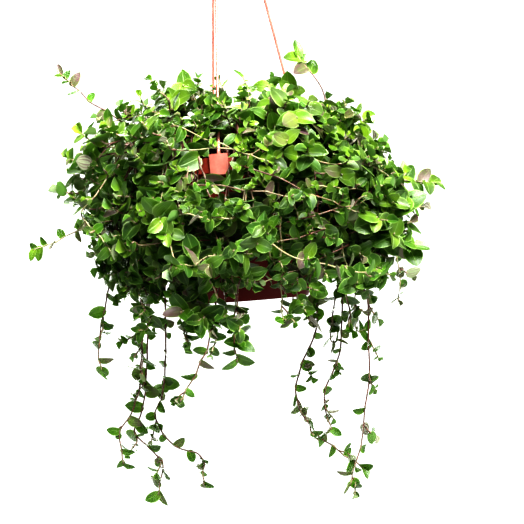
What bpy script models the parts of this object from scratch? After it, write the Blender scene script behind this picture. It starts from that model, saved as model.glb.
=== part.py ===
"""A turtle vine in a plastic hanging pot, at its real size.

A moulded hook carries three thin strands, and a clip at the foot of each one is snapped over the rim of
the pot. The vine stands in the soil: a dense head of short leafy stems, and around it longer ones that cross
the rim and trail. The origin is the point of the hook that bears on its rail, +Z is up and the front faces
-Y. Lengths are in metres. The vine's own plan is in millimetres from the centre of the pot's rim.
"""

import math
import random

import bmesh
import bpy
import numpy as np
from mathutils import Matrix, Vector
from mathutils.bvhtree import BVHTree

for old in list(bpy.data.objects):
    bpy.data.objects.remove(old, do_unlink=True)

MM = 0.001
GAP = 0.3 * MM

# Pot, turned
RIM_RADIUS = 77.5 * MM
BASE_RADIUS = 48 * MM
POT_HEIGHT = 115 * MM
POT_WALL = 2 * MM
RIM_BAND_HEIGHT = 12 * MM
RIM_BAND_STEP = 3 * MM
POT_SIDES = 28
DRAIN_RADIUS = 3.5 * MM
DRAIN_RING_RADIUS = 30 * MM
DRAIN_COUNT = 5

# Heights below the bearing point of the hook
HUB_DEPTH = 40 * MM
RIM_DEPTH = 325 * MM
RIM_CENTRE = Vector((0, 0, -RIM_DEPTH))

# Soil
SOIL_BELOW_RIM = 10 * MM
ROOT_DEPTH = 12 * MM
HOLE_RADIUS = 1.9 * MM

# Hanger
HOOK_INNER_RADIUS = 11 * MM
HOOK_THICKNESS = 4.5 * MM
HUB_RADIUS = 7 * MM
HUB_HEIGHT = 9 * MM
STRAND_RADIUS = 1.1 * MM
STRAND_IN_HUB = 4 * MM
CLIP_WIDTH = 13 * MM
CLIP_HEIGHT = 14 * MM
CLIP_THICKNESS = 2 * MM
# Degrees round the pot, from the front towards the right
STRAND_ANGLES = {"front": -12, "back_left": -160.5, "back_right": 132}

# Vine
STEM_RADIUS = 1.15 * MM
STEM_TAPER = 0.3
LEAF_THICKNESS = 0.8 * MM
LEAF_ROOT_HALF = 1.2 * MM
LEAF_ROOT_CLEAR = 3 * MM
LEAF_GAP = 0.4 * MM
# Across the blade at each share of its length: share of the length, of the width, and lift
LEAF_OUTLINE = [(0.3, 1, 0.09), (0.68, 0.72, 0.05), (1, 0, -0.08)]
HEAD_LEAF_OUTLINE = [(0.42, 1, 0.08), (1, 0, -0.06)]
# In millimetres: between the points of a stem's line, between the leaves at its tip, and how far off
# a straight line counts as straight
LINE_STEP = 2
TIP_GAP = 3.6
STRAIGHTNESS = 1
MOUND_CENTRE = Vector((0, 0, -12))
GOLDEN_ANGLE = 137.508
SEED = 11

# The head in millimetres, as radius and height from the centre of the rim: the outline that its tips reach,
# and the core over the pot that its stems stand out of, with room under it for the stems that cross the rim
MOUND = [(0, 56), (38, 58), (78, 49), (112, 26), (134, -4), (138, -38), (126, -72), (104, -100)]
CORE = [(0, 27), (28, 26), (48, 23), (61, 17), (64, 13), (61, 10.5), (34, 6), (0, 4)]
CORE_SIDES = 14
CORE_LUMPS = 2
LUMPS_ABOVE = 16
CORE_FEET = 5
FOOT_RING = 40
FOOT_RADIUS = 1.3 * MM
RIM_CROSSING = [(64, -10), (69, 2), (76, 6.5), (82, 0), (83.5, -16), (85.5, -58)]
STRAND_CHANNEL_RADIUS = 5 * MM

# Long stems rooted in the soil: the angle at which each goes over the rim, its route from under the head to
# its tip in millimetres from the centre of the rim, and the length of a full-grown leaf.
TRAILING_STEMS = {
    "trail_left_long": dict(
        angle=-106, leaf=13,
        route=[(-93, 27, -83), (-98, 25, -152), (-106, 25, -195), (-122, 25, -222), (-121, 25, -250)]),
    "trail_left_lowest": dict(
        angle=-119, leaf=14,
        route=[(-88, 42, -80), (-94, 38, -150), (-101, 34, -200), (-110, 32, -222), (-94, 30, -242),
               (-88, 30, -250), (-94, 30, -278)]),
    "trail_left_inner": dict(
        angle=-132, leaf=13,
        route=[(-74, 57, -80), (-79, 50, -150), (-84, 44, -190), (-92, 40, -212), (-78, 36, -237),
               (-56, 32, -247), (-54, 32, -274)]),
    "trail_far_left": dict(
        angle=-93, leaf=13,
        route=[(-108, 0, -66), (-121, -6, -106), (-130, -10, -143), (-129, -10, -166)]),
    "trail_centre": dict(
        angle=-3, leaf=13,
        route=[(-16, -92, -70), (-32, -90, -135), (-48, -86, -168), (-61, -84, -188)]),
    "trail_centre_short": dict(
        angle=7, leaf=14,
        route=[(2, -96, -66), (-14, -96, -128), (-14, -92, -160)]),
    "trail_right_long": dict(
        angle=121, leaf=13,
        route=[(62, 62, -80), (57, 60, -114), (54, 60, -148), (38, 60, -180), (32, 60, -208),
               (48, 58, -240), (88, 56, -274)]),
    "trail_right_short": dict(
        angle=111, leaf=14,
        route=[(84, 44, -70), (78, 46, -128), (72, 46, -170), (56, 44, -205), (60, 44, -236)]),
    "trail_right_lowest": dict(
        angle=99, leaf=15,
        route=[(96, 24, -80), (98, 30, -160), (88, 34, -230), (76, 36, -282)]),
}
# Stems of the head that reach further than the rest, each from inside the core to its tip
SPRIGS = {
    "sprig_upper_left": dict(leaf=13, route=[(-50, 8, 20), (-78, 12, 33), (-118, 10, 58), (-147, 10, 88)]),
    "sprig_left": dict(
        leaf=13,
        route=[(-52, -10, 20), (-84, -14, 22), (-112, -20, -28), (-150, -22, -52), (-177, -22, -60)]),
    "sprig_top_right": dict(leaf=16, route=[(40, 14, 22), (70, 20, 34), (74, 21, 52), (56, 20, 88)]),
    "sprig_top_centre": dict(leaf=14, route=[(16, -6, 20), (17, -5, 42), (7, 0, 72)]),
    "sprig_right": dict(leaf=14, route=[(54, -8, 20), (88, -10, 20), (122, -10, -20), (165, -10, -33)]),
    "rosette_high": dict(
        leaf=20, crowding=1.25, route=[(46, -22, 20), (84, -36, 22), (112, -48, -16), (124, -50, -52)]),
    "rosette_middle": dict(
        leaf=20, crowding=1.25, route=[(40, -34, 20), (70, -56, 24), (98, -68, -24), (108, -62, -80)]),
    "rosette_low": dict(
        leaf=19, crowding=1.25, route=[(32, -42, 20), (56, -70, 24), (74, -88, -40), (84, -78, -108)]),
    "rosette_outer": dict(
        leaf=18, crowding=1.25, route=[(50, -14, 20), (88, -26, 24), (116, -38, -36), (121, -44, -98)]),
    "sprig_right_fringe": dict(
        leaf=15, route=[(52, 2, 20), (86, 5, 24), (114, 8, -30), (126, 8, -100), (123, 8, -128)]),
}

# Stems placed by rule: more over the rim, at least this many degrees from their neighbours, and the head's
DRAPED_STEMS = 6
DRAPED_APART = 14
HEAD_STEMS = 50
# Their leaves are larger than life and further apart, so that fewer of them cover the head
HEAD_LEAF = 23
HEAD_LEAF_GAP = 20
HEAD_TIP_GAP = 8


# Shapes


def new_object(name, bm):
    """An object made of this bmesh, in the scene."""
    bmesh.ops.recalc_face_normals(bm, faces=bm.faces)
    mesh = bpy.data.meshes.new(name)
    bm.to_mesh(mesh)
    bm.free()
    obj = bpy.data.objects.new(name, mesh)
    bpy.context.scene.collection.objects.link(obj)
    return obj


def turned(name, profile, sides):
    """A closed solid spun about Z from (radius, height) points that run from axis to axis."""
    bm = bmesh.new()
    points = [bm.verts.new((radius, 0, height)) for radius, height in profile]
    edges = [bm.edges.new(pair) for pair in zip(points, points[1:])]
    bmesh.ops.spin(
        bm, geom=points + edges, cent=(0, 0, 0), axis=(0, 0, 1), angle=2 * math.pi, steps=sides,
        use_merge=True,
    )
    bmesh.ops.remove_doubles(bm, verts=bm.verts, dist=0.01 * MM)
    return new_object(name, bm)


def tube(name, points, radii, sides):
    """A closed round bar along these points, with a radius at each."""
    bm = bmesh.new()
    points = [Vector(p) for p in points]
    ends = [points[0]] + points + [points[-1]]
    across = None
    rings = []
    for i, (point, radius) in enumerate(zip(points, radii)):
        tangent = (ends[i + 2] - ends[i]).normalized()
        if across is None:
            across = tangent.orthogonal()
        across = (across - tangent * across.dot(tangent)).normalized()
        other = tangent.cross(across)
        turns = [2 * math.pi * k / sides for k in range(sides)]
        outward = [math.cos(turn) * across + math.sin(turn) * other for turn in turns]
        rings.append([bm.verts.new(point + radius * direction) for direction in outward])
    for low, high in zip(rings, rings[1:]):
        for k in range(sides):
            bm.faces.new((low[k], low[(k + 1) % sides], high[(k + 1) % sides], high[k]))
    bm.faces.new(rings[0][::-1])
    bm.faces.new(rings[-1])
    return new_object(name, bm)


def extruded(name, outline, width, matrix):
    """A flat outline of (out, up) points given this width across, then placed by the matrix."""
    bm = bmesh.new()
    face = bm.faces.new([bm.verts.new((-width / 2, out, up)) for out, up in outline])
    grown = bmesh.ops.extrude_face_region(bm, geom=[face])["geom"]
    moved = [part for part in grown if isinstance(part, bmesh.types.BMVert)]
    bmesh.ops.translate(bm, verts=moved, vec=(width, 0, 0))
    bm.transform(matrix)
    return new_object(name, bm)


def rod_cutter(start, end, radius, sides=5):
    """A plain bar that cuts a round hole."""
    return tube("cutter", [start, end], [radius, radius], sides)


def combine(body, pieces, operation="UNION", solver="EXACT"):
    """One Boolean of all these pieces on the body, applied, and the pieces removed."""
    group = bpy.data.collections.new("pieces")
    bpy.context.scene.collection.children.link(group)
    for piece in pieces:
        group.objects.link(piece)
    boolean = body.modifiers.new("combine", "BOOLEAN")
    boolean.operation = operation
    boolean.operand_type = "COLLECTION"
    boolean.collection = group
    boolean.solver = solver
    bpy.context.view_layer.objects.active = body
    bpy.ops.object.modifier_apply(modifier=boolean.name)
    for piece in list(group.objects):
        bpy.data.objects.remove(piece, do_unlink=True)
    bpy.data.collections.remove(group)


def keep_outside(obj):
    """Fills the hollows that a union has sealed and drops loose scraps: only the largest surface stays."""
    bm = bmesh.new()
    bm.from_mesh(obj.data)
    left = set(bm.verts)
    surfaces = []
    while left:
        surface = {left.pop()}
        edge = list(surface)
        while edge:
            reached = {e.other_vert(v) for v in edge for e in v.link_edges} & left
            left -= reached
            surface |= reached
            edge = list(reached)
        surfaces.append(surface)
    largest = max(surfaces, key=len)
    bmesh.ops.delete(bm, geom=[v for v in bm.verts if v not in largest], context="VERTS")
    bm.to_mesh(obj.data)
    bm.free()


def finish(obj, colour, roughness, smooth_angle=None):
    """The object's own material, and smooth shading where it is round."""
    material = bpy.data.materials.new(obj.name)
    material.use_nodes = True
    shader = material.node_tree.nodes["Principled BSDF"]
    shader.inputs["Base Color"].default_value = (*colour, 1)
    shader.inputs["Roughness"].default_value = roughness
    shader.inputs["Metallic"].default_value = 0
    obj.data.materials.clear()
    obj.data.materials.append(material)
    if smooth_angle:
        obj.data.shade_smooth()
        obj.data.set_sharp_from_angle(angle=math.radians(smooth_angle))


def towards(angle):
    """The level direction at this many degrees round the pot, from the front towards the right."""
    return Vector((math.sin(math.radians(angle)), -math.cos(math.radians(angle)), 0))


# The vine's plan: where each stem runs and how its leaves sit


def smooth_line(points):
    """Points LINE_STEP apart on a smooth curve through the given ones."""
    points = [Vector(p) for p in points]
    ends = [2 * points[0] - points[1]] + points + [2 * points[-1] - points[-2]]
    fine = [points[0]]
    for before, a, b, after in zip(ends, ends[1:], ends[2:], ends[3:]):
        for step in range(1, 21):
            t = step / 20
            fine.append(0.5 * (
                2 * a + (b - before) * t + (2 * before - 5 * a + 4 * b - after) * t * t
                + (3 * a - before - 3 * b + after) * t * t * t
            ))
    lengths = np.cumsum([0] + [(b - a).length for a, b in zip(fine, fine[1:])])
    wanted = np.arange(0, lengths[-1], LINE_STEP)
    columns = [np.interp(wanted, lengths, [p[axis] for p in fine]) for axis in range(3)]
    return [Vector(p) for p in zip(*columns)]


class Leaf:
    """Where a leaf joins its stem, which way it runs and faces, and its size in millimetres."""

    def __init__(self, base, along, facing, length, width, detailed):
        self.base = base
        self.along = along
        self.facing = facing
        self.length = length
        self.width = width
        self.detailed = detailed

    def lifted(self, degrees):
        """The same leaf lifted or lowered at its root."""
        turn = Matrix.Rotation(math.radians(degrees), 3, self.along.cross(self.facing))
        return Leaf(self.base, turn @ self.along, turn @ self.facing, self.length, self.width, self.detailed)


class Stem:
    """A stem's smooth line, in millimetres from the rim's centre, and what its leaves are like."""

    def __init__(self, name, route, leaf, bare, spacing, crowding=1.55, tip_gap=TIP_GAP):
        self.name = name
        self.tip_gap = tip_gap
        self.detailed = tip_gap == TIP_GAP
        self.line = smooth_line(route)
        self.length = LINE_STEP * (len(self.line) - 1)
        self.leaf = leaf
        self.bare = bare
        self.spacing = spacing
        self.crowding = crowding
        self.facings = []
        facing = Vector((0, 0, 1))
        for i, point in enumerate(self.line):
            tangent = self.tangent(i)
            hanging = min(1, max(0, -point.z / 90))
            wanted = (point - MOUND_CENTRE).normalized() + Vector((0, 0, 1)) * (0.75 - 0.45 * hanging)
            facing = facing + 0.12 * wanted
            facing = (facing - tangent * facing.dot(tangent)).normalized()
            self.facings.append(facing)

    def tangent(self, i):
        low = self.line[max(i - 1, 0)]
        high = self.line[min(i + 1, len(self.line) - 1)]
        return (high - low).normalized()

    def at(self, distance):
        """(point, tangent, facing) this far along the stem."""
        place = min(max(distance / LINE_STEP, 0), len(self.line) - 1.001)
        i = int(place)
        share = place - i
        point = self.line[i].lerp(self.line[i + 1], share)
        tangent = self.tangent(i).lerp(self.tangent(i + 1), share).normalized()
        facing = self.facings[i].lerp(self.facings[i + 1], share)
        return point, tangent, (facing - tangent * facing.dot(tangent)).normalized()

    def leaf_places(self):
        """Distances of the leaves along the stem, closer together towards its tip."""
        places = []
        distance = self.length - self.tip_gap / 2
        gap = self.tip_gap
        while distance > self.bare:
            places.append(distance)
            distance -= gap
            gap = min(self.spacing, gap * self.crowding)
        return places[::-1]

    def leaves(self):
        """(distance, side, leaf) of each leaf, alternately on the stem's two sides."""
        rnd = random.Random(f"{SEED} {self.name}")
        side = 1
        for distance in self.leaf_places():
            point, tangent, facing = self.at(distance)
            from_tip = self.length - distance
            spread = math.radians(rnd.uniform(45, 75) * min(1, 0.45 + from_tip / 25))
            along = tangent * math.cos(spread) + tangent.cross(facing) * side * math.sin(spread)
            along = (along + facing * rnd.uniform(-0.05, 0.4)).normalized()
            facing = (facing - along * facing.dot(along)).normalized()
            facing = Matrix.Rotation(math.radians(rnd.uniform(-30, 30)), 3, along) @ facing
            length = self.leaf * min(1, 0.6 + from_tip / 40) * rnd.uniform(0.88, 1.1)
            width = length * rnd.uniform(0.66, 0.8)
            yield distance, side, Leaf(point, along, facing, length, width, self.detailed)
            side = -side


def over_rim(angle):
    """Up out of the soil, close over the rim and down outside it, under the head."""
    out = towards(angle)
    return [out * radius + Vector((0, 0, height)) for radius, height in RIM_CROSSING]


def trailing_stems():
    """The long placed stems, and others at golden angles between them and the strands."""
    stems = []
    angles = list(STRAND_ANGLES.values())
    for name, how in TRAILING_STEMS.items():
        angles.append(how["angle"])
        stems.append(Stem(name, over_rim(how["angle"]) + how["route"], how["leaf"], bare=105, spacing=22))
    rnd = random.Random(SEED)
    angle = 0
    while len(stems) < len(TRAILING_STEMS) + DRAPED_STEMS:
        angle = (angle + GOLDEN_ANGLE) % 360
        if min(abs((angle - other + 180) % 360 - 180) for other in angles) < DRAPED_APART:
            continue
        angles.append(angle)
        out = towards(angle)
        drop = Vector((0, 0, rnd.uniform(110, 190)))
        side = towards(angle + 90) * rnd.uniform(-20, 20)
        below = [out * 92 - Vector((0, 0, 70)), out * 97 + side - drop]
        name = f"draped_stem_{len(stems) + 1 - len(TRAILING_STEMS)}"
        stems.append(Stem(name, over_rim(angle) + below, rnd.uniform(13, 16), bare=105, spacing=19))
    return stems


def mound_point(share, angle):
    """A point of the head's outline, at this share of the way from its top to its lower edge."""
    place = share * (len(MOUND) - 1.001)
    i = int(place)
    radius, height = Vector(MOUND[i]).lerp(Vector(MOUND[i + 1]), place - i)
    return towards(angle) * radius + Vector((0, 0, height))


def head_stems():
    """The sprigs, and short stems at golden angles that arch from the core to the head's outline."""
    stems = [
        Stem(name, how["route"], how["leaf"], 40, 15, how.get("crowding", 1.55))
        for name, how in SPRIGS.items()
    ]
    rnd = random.Random(SEED + 1)
    up = Vector((0, 0, 1))
    for number in range(HEAD_STEMS):
        share = ((number + 0.5) / HEAD_STEMS) ** 0.75
        angle = number * GOLDEN_ANGLE
        side = towards(angle + 90) * rnd.uniform(-20, 20)
        tip = mound_point(share, angle) * rnd.uniform(0.88, 1.04) + side
        radius = tip.xy.length
        start = towards(angle) * min(46, 0.6 * radius) + up * 17
        if radius < 80:
            route = [start, start.lerp(tip, 0.5) + up * rnd.uniform(2, 8), tip]
        else:
            over = towards(angle) * 84 + up * rnd.uniform(20, 36)
            shoulder = mound_point(0.8 * share, angle) * rnd.uniform(0.8, 0.94) + side / 2
            route = [start, over, shoulder, tip]
        leaf = HEAD_LEAF * rnd.uniform(0.85, 1.1)
        stems.append(Stem(f"head_stem_{number + 1}", route, leaf, 22, HEAD_LEAF_GAP, 1.5, HEAD_TIP_GAP))
    return stems


# The vine's solids


def leaf_sections(leaf, grow=0.0):
    """The blade's corners at each width of it, and the two points of its tip, in metres.

    Corners run top left, top right, bottom right, bottom left, seen along the leaf.
    """
    across = leaf.facing.cross(leaf.along)
    long = leaf.length * MM + grow
    half = leaf.width * MM / 2 + grow
    deep = LEAF_THICKNESS / 2 + grow
    origin = RIM_CENTRE + leaf.base * MM
    sections = []
    for share, wide, lift in LEAF_OUTLINE if leaf.detailed else HEAD_LEAF_OUTLINE:
        middle = origin + leaf.along * share * long + leaf.facing * lift * leaf.length * MM
        side = across * wide * half
        rise = leaf.facing * deep
        upper = [middle + side + rise, middle - side + rise]
        lower = [middle - side - rise, middle + side - rise]
        sections.append(upper + lower)
    return sections[:-1], [sections[-1][0], sections[-1][3]]


def blade_tree(leaf, grow, start):
    """A search tree of the blade alone, from this far out of the stem and grown by a clearance."""
    sections, tip = leaf_sections(leaf, grow)
    across = leaf.facing.cross(leaf.along)
    root = RIM_CENTRE + leaf.base * MM + leaf.along * start
    half = across * (STEM_RADIUS + grow)
    rise = leaf.facing * (LEAF_THICKNESS / 2 + grow)
    rings = [[root + half + rise, root - half + rise, root - half - rise, root + half - rise]] + sections
    rings.append([tip[0], tip[0], tip[1], tip[1]])
    points = [point for ring in rings for point in ring]
    faces = []
    for ring in range(len(rings) - 1):
        for k in range(4):
            low = 4 * ring + k
            next_low = 4 * ring + (k + 1) % 4
            faces += [(low, next_low, next_low + 4), (low, next_low + 4, low + 4)]
    return BVHTree.FromPolygons(points, faces)


def tree_of(obj):
    points = [obj.matrix_world @ v.co for v in obj.data.vertices]
    return BVHTree.FromPolygons(points, [p.vertices for p in obj.data.polygons])


def without_straights(points, off):
    """The ends, and between them only the points that lie further than this off the straight line."""
    along = (points[-1] - points[0]).normalized()
    offs = [((p - points[0]) - along * (p - points[0]).dot(along)).length for p in points]
    furthest = int(np.argmax(offs))
    if offs[furthest] < off:
        return [points[0], points[-1]]
    return without_straights(points[: furthest + 1], off)[:-1] + without_straights(points[furthest:], off)


def clear_leaves(stem, taken):
    """The stem's leaves, each lifted or lowered until it is clear of all else, or else left out."""
    kept = []
    blades = []
    for distance, side, leaf in stem.leaves():
        for degrees in (0, 25, -25, 50, -50):
            lifted = leaf.lifted(degrees)
            whole = blade_tree(lifted, LEAF_GAP, 0)
            blade = blade_tree(lifted, LEAF_GAP / 2, LEAF_ROOT_CLEAR)
            if any(whole.overlap(tree) for owner, tree in taken if owner != stem.name):
                continue
            if any(blade.overlap(other) for other in blades):
                continue
            blades.append(blade)
            taken.append((stem.name, whole))
            kept.append((distance, side, lifted))
            break
    return kept


def leafy_stem(stem, leaves, rooted):
    """The stem and its leaves as one closed body.

    The stem is a three-sided bar with a flat top. Each leaf is drawn out of one of its lower sides,
    between two rings close together.
    """
    bare_end = (leaves[0][0] if leaves else stem.length) - LEAF_ROOT_HALF / MM
    bare_points = without_straights([stem.at(d)[0] for d in np.arange(0, bare_end, LINE_STEP)], STRAIGHTNESS)
    line = np.array(stem.line)
    stations = [int(np.linalg.norm(line - np.array(p), axis=1).argmin()) * LINE_STEP for p in bare_points]
    roots = {}
    for distance, side, leaf in leaves:
        roots[len(stations)] = side, leaf
        stations += [distance - LEAF_ROOT_HALF / MM, distance + LEAF_ROOT_HALF / MM]
    bm = bmesh.new()
    rings = []
    if rooted:
        point, _, facing = stem.at(0)
        level_facing = Vector((facing.x, facing.y, 0)).normalized()
        root = point - Vector((0, 0, (ROOT_DEPTH - GAP) / MM))
        rings.append(ring_of(bm, root, Vector((0, 0, 1)), level_facing, 1))
        roots = {station + 1: root for station, root in roots.items()}
    for distance in stations:
        rings.append(ring_of(bm, *stem.at(distance), 1 - STEM_TAPER * distance / stem.length))
    bm.faces.new(rings[0][::-1])
    bm.faces.new(rings[-1])
    for i, (low, high) in enumerate(zip(rings, rings[1:])):
        leaf_side = roots[i][0] if i in roots else 0
        bm.faces.new((low[0], low[1], high[1], high[0]))
        if leaf_side != 1:
            bm.faces.new((low[1], low[2], high[2], high[1]))
        if leaf_side != -1:
            bm.faces.new((low[2], low[0], high[0], high[2]))
    for i, (side, leaf) in roots.items():
        low, high = rings[i], rings[i + 1]
        if side == 1:
            corners = [high[1], low[1], low[2], high[2]]
        else:
            corners = [low[0], high[0], high[2], low[2]]
        draw_out_leaf(bm, corners, leaf)
    return new_object(stem.name, bm)


def ring_of(bm, point, tangent, facing, share):
    """The bar's three corners: left and right of its flat top, and its lower edge."""
    across = tangent.cross(facing)
    radius = STEM_RADIUS * share
    centre = RIM_CENTRE + point * MM
    corners = [facing * 0.5 - across * 0.87, facing * 0.5 + across * 0.87, -facing]
    return [bm.verts.new(centre + corner * radius) for corner in corners]


def draw_out_leaf(bm, corners, leaf):
    """A blade that grows from these four corners of its stem, in the order that leaf_sections gives."""
    sections, tip = leaf_sections(leaf)
    for section in sections:
        grown = [bm.verts.new(point) for point in section]
        for k in range(4):
            bm.faces.new((corners[k], corners[(k + 1) % 4], grown[(k + 1) % 4], grown[k]))
        corners = grown
    upper, lower = [bm.verts.new(point) for point in tip]
    bm.faces.new((corners[0], corners[1], upper))
    bm.faces.new((corners[1], corners[2], lower, upper))
    bm.faces.new((corners[2], corners[3], lower))
    bm.faces.new((corners[3], corners[0], upper, lower))


# The pieces


def make_pot():
    """The tapered pot with its rim band, open at the top and with drain holes in its floor."""
    top = -RIM_DEPTH
    base = top - POT_HEIGHT
    under_band = top - RIM_BAND_HEIGHT
    wall = RIM_RADIUS - RIM_BAND_STEP
    edge = 0.8 * MM
    pot = turned("pot", [
        (0, base), (BASE_RADIUS - edge, base), (BASE_RADIUS, base + edge), (wall, under_band),
        (RIM_RADIUS - edge, under_band), (RIM_RADIUS, under_band + edge),
        (RIM_RADIUS, top - edge), (RIM_RADIUS - edge, top), (RIM_RADIUS - POT_WALL, top),
        (RIM_RADIUS - POT_WALL, under_band + POT_WALL), (wall - POT_WALL, under_band),
        (BASE_RADIUS - POT_WALL, base + POT_WALL), (0, base + POT_WALL),
    ], POT_SIDES)
    drains = []
    for k in range(DRAIN_COUNT):
        centre = towards(360 * k / DRAIN_COUNT) * DRAIN_RING_RADIUS
        low = Vector((0, 0, base - 2 * MM))
        high = Vector((0, 0, base + 2 * POT_WALL))
        drains.append(rod_cutter(centre + low, centre + high, DRAIN_RADIUS, 10))
    combine(pot, drains, "DIFFERENCE")
    finish(pot, (0.50, 0.10, 0.045), 0.45, 35)
    return pot


def make_soil(standing):
    """The filled inside of the pot, with a plain hole for each stem and each foot of the head."""
    top = -RIM_DEPTH
    base = top - POT_HEIGHT + POT_WALL + GAP
    wall = RIM_RADIUS - RIM_BAND_STEP - POT_WALL
    inside = RIM_RADIUS - POT_WALL
    level = top - SOIL_BELOW_RIM
    soil = turned("soil", [
        (0, base), (BASE_RADIUS - POT_WALL - GAP, base), (wall - GAP, level - 2.3 * MM),
        (wall - GAP, level - 0.8 * MM), (inside - 8 * MM, level), (0, level + 1 * MM),
    ], POT_SIDES)
    roots = [stem.line[0] for stem in standing] + core_feet()
    cutters = []
    for root in roots:
        mouth = RIM_CENTRE + Vector((root.x, root.y, 0)) * MM
        bottom = Vector((mouth.x, mouth.y, level - ROOT_DEPTH))
        cutters.append(rod_cutter(bottom, mouth, HOLE_RADIUS))
    combine(soil, cutters, "DIFFERENCE")
    finish(soil, (0.045, 0.028, 0.018), 0.95)
    return soil


def make_hook():
    """The crook that goes over a rail, with the hub under it that takes the three strands."""
    middle = HOOK_INNER_RADIUS + HOOK_THICKNESS / 2
    bow_centre = Vector((0, 0, -HOOK_INNER_RADIUS))
    shank = [
        Vector((0, 0, -HUB_DEPTH + HUB_HEIGHT / 2)), Vector((0, 0, -31 * MM)),
        Vector((2.5 * MM, 0, -26.5 * MM)), Vector((6.6 * MM, 0, -22.9 * MM)),
    ]
    bow = [
        bow_centre + middle * Vector((math.cos(math.radians(a)), 0, math.sin(math.radians(a))))
        for a in range(-40, 201, 20)
    ]
    tip = [bow[-1] + Vector((-2 * MM, 0, -2.8 * MM))]
    points = shank + bow + tip
    radii = [HOOK_THICKNESS / 2] * (len(points) - 1) + [0.7 * HOOK_THICKNESS / 2]
    crook = tube("hanger_hook", points, radii, 6)
    base = -HUB_DEPTH
    hub = turned("hub", [
        (0, base), (HUB_RADIUS - 0.8 * MM, base), (HUB_RADIUS, base + 0.8 * MM), (HUB_RADIUS, base + 4 * MM),
        (HOOK_THICKNESS / 2 + 0.6 * MM, base + HUB_HEIGHT), (0, base + HUB_HEIGHT),
    ], 12)
    combine(crook, [hub])
    sockets = []
    for angle in STRAND_ANGLES.values():
        start, end = strand_ends(angle)
        direction = (end - start).normalized()
        below = end - direction * (STRAND_IN_HUB + 3 * MM)
        sockets.append(rod_cutter(below, end + direction * GAP, STRAND_RADIUS + 0.45 * MM, 8))
    combine(crook, sockets, "DIFFERENCE")
    finish(crook, (0.62, 0.16, 0.09), 0.4, 40)
    return crook


def strand_ends(angle):
    """Where a strand starts in its clip, and where it ends inside the hub."""
    out = towards(angle)
    start = RIM_CENTRE + out * (RIM_RADIUS + GAP + CLIP_THICKNESS / 2) - Vector((0, 0, 2 * MM))
    mouth = out * 0.55 * HUB_RADIUS - Vector((0, 0, HUB_DEPTH))
    end = mouth + (mouth - start).normalized() * STRAND_IN_HUB
    return start, end


def make_strand(name, angle):
    """A thin strand and the clip moulded on its foot, which is snapped over the rim band."""
    outer = GAP + CLIP_THICKNESS
    inner = -POT_WALL - 0.8 * MM
    under = -RIM_BAND_HEIGHT - GAP
    outline = [
        (outer, -CLIP_HEIGHT), (outer, outer), (inner - CLIP_THICKNESS, outer),
        (inner - CLIP_THICKNESS, -CLIP_HEIGHT / 2), (inner, -CLIP_HEIGHT / 2), (inner, GAP), (GAP, GAP),
        (GAP, under), (-RIM_BAND_STEP * 0.7, under), (-RIM_BAND_STEP * 0.7, -CLIP_HEIGHT),
    ]
    out = towards(angle)
    turn = Matrix((towards(angle + 90), out, (0, 0, 1))).transposed().to_4x4()
    place = Matrix.Translation(RIM_CENTRE + out * RIM_RADIUS) @ turn
    clip = extruded("clip", outline, CLIP_WIDTH, place)
    start, end = strand_ends(angle)
    strand = tube(name, [start, end], [STRAND_RADIUS, STRAND_RADIUS], 6)
    combine(strand, [clip])
    finish(strand, (0.62, 0.16, 0.09), 0.4, 40)
    return strand


def core_feet():
    """Where the feet of the dense head go into the soil, in millimetres."""
    return [towards(360 * k / CORE_FEET + 20) * FOOT_RING for k in range(CORE_FEET)]


def make_core():
    """The tangle of short stems that the head's leaves stand out of, as one lumpy body, and its feet."""
    core = turned("vine_head", [(radius * MM, height * MM) for radius, height in CORE], CORE_SIDES)
    for vert in core.data.vertices:
        angle = math.atan2(vert.co.y, vert.co.x)
        height = vert.co.z / MM
        if height > LUMPS_ABOVE:
            lump = math.sin(5 * angle + height / 6) + math.sin(3 * angle - height / 4)
            vert.co += vert.co.normalized() * CORE_LUMPS * MM * lump
        vert.co += RIM_CENTRE
    feet = []
    for foot in core_feet():
        bottom = RIM_CENTRE + foot * MM - Vector((0, 0, SOIL_BELOW_RIM + ROOT_DEPTH - GAP))
        soil_level = bottom + Vector((0, 0, ROOT_DEPTH))
        top = RIM_CENTRE + (foot * 0.9 + Vector((0, 0, 18))) * MM
        feet.append(tube("foot", [bottom, soil_level, top], [FOOT_RADIUS, FOOT_RADIUS, 1.7 * FOOT_RADIUS], 5))
    channels = []
    for angle in STRAND_ANGLES.values():
        start, end = strand_ends(angle)
        channels.append(rod_cutter(start, start.lerp(end, 0.3), STRAND_CHANNEL_RADIUS, 6))
    combine(core, channels, "DIFFERENCE", "MANIFOLD")
    return core, feet


def make_vine(standing, head, fixed):
    """The stems that stand in the soil, each with its leaves, and the dense head among them."""
    taken = [(obj.name, tree_of(obj)) for obj in fixed]
    core, feet = make_core()
    taken += [("core", tree_of(obj)) for obj in [core] + feet]
    taken += [(stem.name, bare_tree(stem)) for stem in standing]
    clear = []
    for stem in head:
        bare = bare_tree(stem)
        if not any(bare.overlap(tree) for owner, tree in taken if owner != "core"):
            clear.append(stem)
    taken += [(stem.name, bare_tree(stem)) for stem in clear]
    for stem in standing:
        obj = leafy_stem(stem, clear_leaves(stem, taken), True)
        finish(obj, (0.10, 0.24, 0.04), 0.4)
    pieces = [leafy_stem(stem, clear_leaves(stem, taken), False) for stem in clear]
    combine(core, feet + pieces, solver="MANIFOLD")
    keep_outside(core)
    finish(core, (0.08, 0.20, 0.035), 0.45)


def bare_tree(stem):
    """A search tree of the stem without its leaves, with some room around it."""
    points = [RIM_CENTRE + point * MM for point in stem.line[::3]]
    rod = tube("rod", points, [STEM_RADIUS + GAP] * len(points), 4)
    tree = tree_of(rod)
    bpy.data.objects.remove(rod, do_unlink=True)
    return tree


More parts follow.
